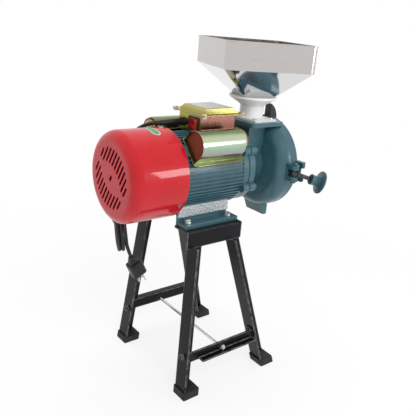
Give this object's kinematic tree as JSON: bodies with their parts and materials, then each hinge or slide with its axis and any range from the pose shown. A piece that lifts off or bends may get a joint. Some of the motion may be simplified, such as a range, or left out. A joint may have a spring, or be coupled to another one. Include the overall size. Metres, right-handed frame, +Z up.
{
  "type": "electric grain mill",
  "caption": "Electric grain mill on an angle-iron stand: ribbed motor with red fan cover, switch box, capacitors, screw-fed burr head, swing-bolt clamps, square hopper, coiled cord.",
  "frame": {"origin": "on the floor under the middle of the mill's bounding box, cord left out", "axes": "+Z up; the shaft runs along X, with the grinding head and flour chute at +X and the fan cover at -X; -Y is the side with the rocker switch"},
  "size_m": [0.4036, 0.2952, 0.63],
  "materials": {
    "black_paint": "satin",
    "plated_steel": "bright zinc",
    "black_rubber": "matt",
    "teal_paint": "gloss",
    "bright_aluminium": "bright ribbed",
    "red_paint": "gloss",
    "yellow_zinc": "yellow passivated zinc",
    "red_plastic": "gloss",
    "black_plastic": "semi-gloss",
    "white_plastic": "satin",
    "stainless": "brushed band, mirror funnel",
    "cord_sheath": "satin",
    "plug_brass": "bright",
    "burr_iron": "ground",
    "ground_steel": "ground",
    "core_steel": "laminated",
    "copper": "enamelled copper",
    "grey_plastic": "matt",
    "brown_resin": "matt"
  },
  "bodies": {
    "stand_and_motor": {"beam_far": "black_paint", "beam_near": "black_paint", "brace_bolts": "plated_steel", "brace_far": "black_paint", "brace_near": "black_paint", "cable_gland": "black_plastic", "capacitor_cover_far": "yellow_zinc", "capacitor_cover_near": "yellow_zinc", "capacitors": "brown_resin", "cord": "cord_sheath", "cord_hank": "cord_sheath", "cord_lead": "cord_sheath", "fan_cover": "red_paint", "fan_cover_screws": "plated_steel", "feed_neck": "white_plastic", "flange_bolts": "plated_steel", "foot_bolts": "plated_steel", "foot_strips": "bright_aluminium", "front_end_shield": "teal_paint", "leg_front_far": "black_paint", "leg_front_near": "black_paint", "leg_rear_far": "black_paint", "leg_rear_near": "black_paint", "mill_housing": "teal_paint", "motor_frame": "teal_paint", "neck_screws": "plated_steel", "plug_blades": "plug_brass", "plug_body": "cord_sheath", "rear_end_shield": "teal_paint", "rocker_housing": "black_plastic", "rubber_feet": "black_rubber", "shaft_bearings": "ground_steel", "stator_core": "core_steel", "stator_windings": "copper", "switch_box": "yellow_zinc", "switch_box_lid": "yellow_zinc", "switch_box_lid_screws": "plated_steel", "terminal_block": "grey_plastic", "tie_rod": "plated_steel", "tie_rod_nuts": "plated_steel"},
    "shaft_group": {"shaft": "ground_steel", "rotor": "core_steel", "cooling_fan": "grey_plastic", "feed_auger": "burr_iron", "rotating_burr": "burr_iron", "burr_nut": "plated_steel"},
    "cover_group": {"front_cover": "teal_paint", "fixed_burr": "burr_iron", "fixed_burr_screws": "plated_steel", "cover_grip": "black_plastic"},
    "rocker_body": {"rocker": "red_plastic"},
    "hopper_body": {"hopper": "stainless"},
    "clamp_pin_near_body": {"clamp_pin_near": "plated_steel"},
    "clamp_pin_far_body": {"clamp_pin_far": "plated_steel"},
    "swing_bolt_near_body": {"swing_bolt_near": "plated_steel"},
    "swing_bolt_far_body": {"swing_bolt_far": "plated_steel"},
    "clamp_washer_near_body": {"clamp_washer_near": "plated_steel"},
    "clamp_washer_far_body": {"clamp_washer_far": "plated_steel"},
    "hand_nut_near_body": {"hand_nut_near": "teal_paint"},
    "hand_nut_far_body": {"hand_nut_far": "teal_paint"}
  },
  "joints": [
    {"name": "shaft_spin", "type": "hinge", "parent": "stand_and_motor", "child": "shaft_group", "pos_m": [0, 0, 0.401], "axis": [1, 0, 0], "continuous": true},
    {"name": "cover_slide", "type": "slide", "parent": "stand_and_motor", "child": "cover_group", "axis": [1, 0, 0], "range_m": [0, 0.003]},
    {"name": "rocker_tilt", "type": "hinge", "parent": "stand_and_motor", "child": "rocker_body", "pos_m": [-0.0503, -0.0162, 0.487], "axis": [0, 0, 1], "range_deg": [0, 18]},
    {"name": "hopper_lift", "type": "slide", "parent": "stand_and_motor", "child": "hopper_body", "axis": [0, 0, 1], "range_m": [0, 0.04]},
    {"name": "swing_near", "type": "hinge", "parent": "stand_and_motor", "child": "clamp_pin_near_body", "pos_m": [0.1282, -0.102, 0.401], "axis": [0, 0, 1], "range_deg": [0, 28]},
    {"name": "droop_near", "type": "hinge", "parent": "clamp_pin_near_body", "child": "swing_bolt_near_body", "pos_m": [0.1282, -0.102, 0.401], "axis": [-0.4695, -0.8829, 0], "range_deg": [0, 17.5]},
    {"name": "washer_near", "type": "slide", "parent": "swing_bolt_near_body", "child": "clamp_washer_near_body", "axis": [-0.8421, 0.4477, 0.3007], "range_m": [0, 0.003]},
    {"name": "hand_nut_turn_near", "type": "hinge", "parent": "clamp_washer_near_body", "child": "hand_nut_near_body", "pos_m": [0.1282, -0.102, 0.401], "axis": [-0.8421, 0.4477, 0.3007], "range_deg": [0, 864]},
    {"name": "swing_far", "type": "hinge", "parent": "stand_and_motor", "child": "clamp_pin_far_body", "pos_m": [0.1282, 0.102, 0.401], "axis": [0, 0, -1], "range_deg": [0, 28]},
    {"name": "droop_far", "type": "hinge", "parent": "clamp_pin_far_body", "child": "swing_bolt_far_body", "pos_m": [0.1282, 0.102, 0.401], "axis": [0.4695, -0.8829, 0], "range_deg": [0, 17.5]},
    {"name": "washer_far", "type": "slide", "parent": "swing_bolt_far_body", "child": "clamp_washer_far_body", "axis": [-0.8421, -0.4477, 0.3007], "range_m": [0, 0.003]},
    {"name": "hand_nut_turn_far", "type": "hinge", "parent": "clamp_washer_far_body", "child": "hand_nut_far_body", "pos_m": [0.1282, 0.102, 0.401], "axis": [-0.8421, -0.4477, 0.3007], "range_deg": [0, 864]}
  ],
  "couplings": [
    {"joint": "droop_near", "follows": "swing_near", "ratio": 0.625},
    {"joint": "washer_near", "follows": "hand_nut_turn_near", "m_per_rad": 0.000198},
    {"joint": "droop_far", "follows": "swing_far", "ratio": 0.625},
    {"joint": "washer_far", "follows": "hand_nut_turn_far", "m_per_rad": 0.000198}
  ]
}
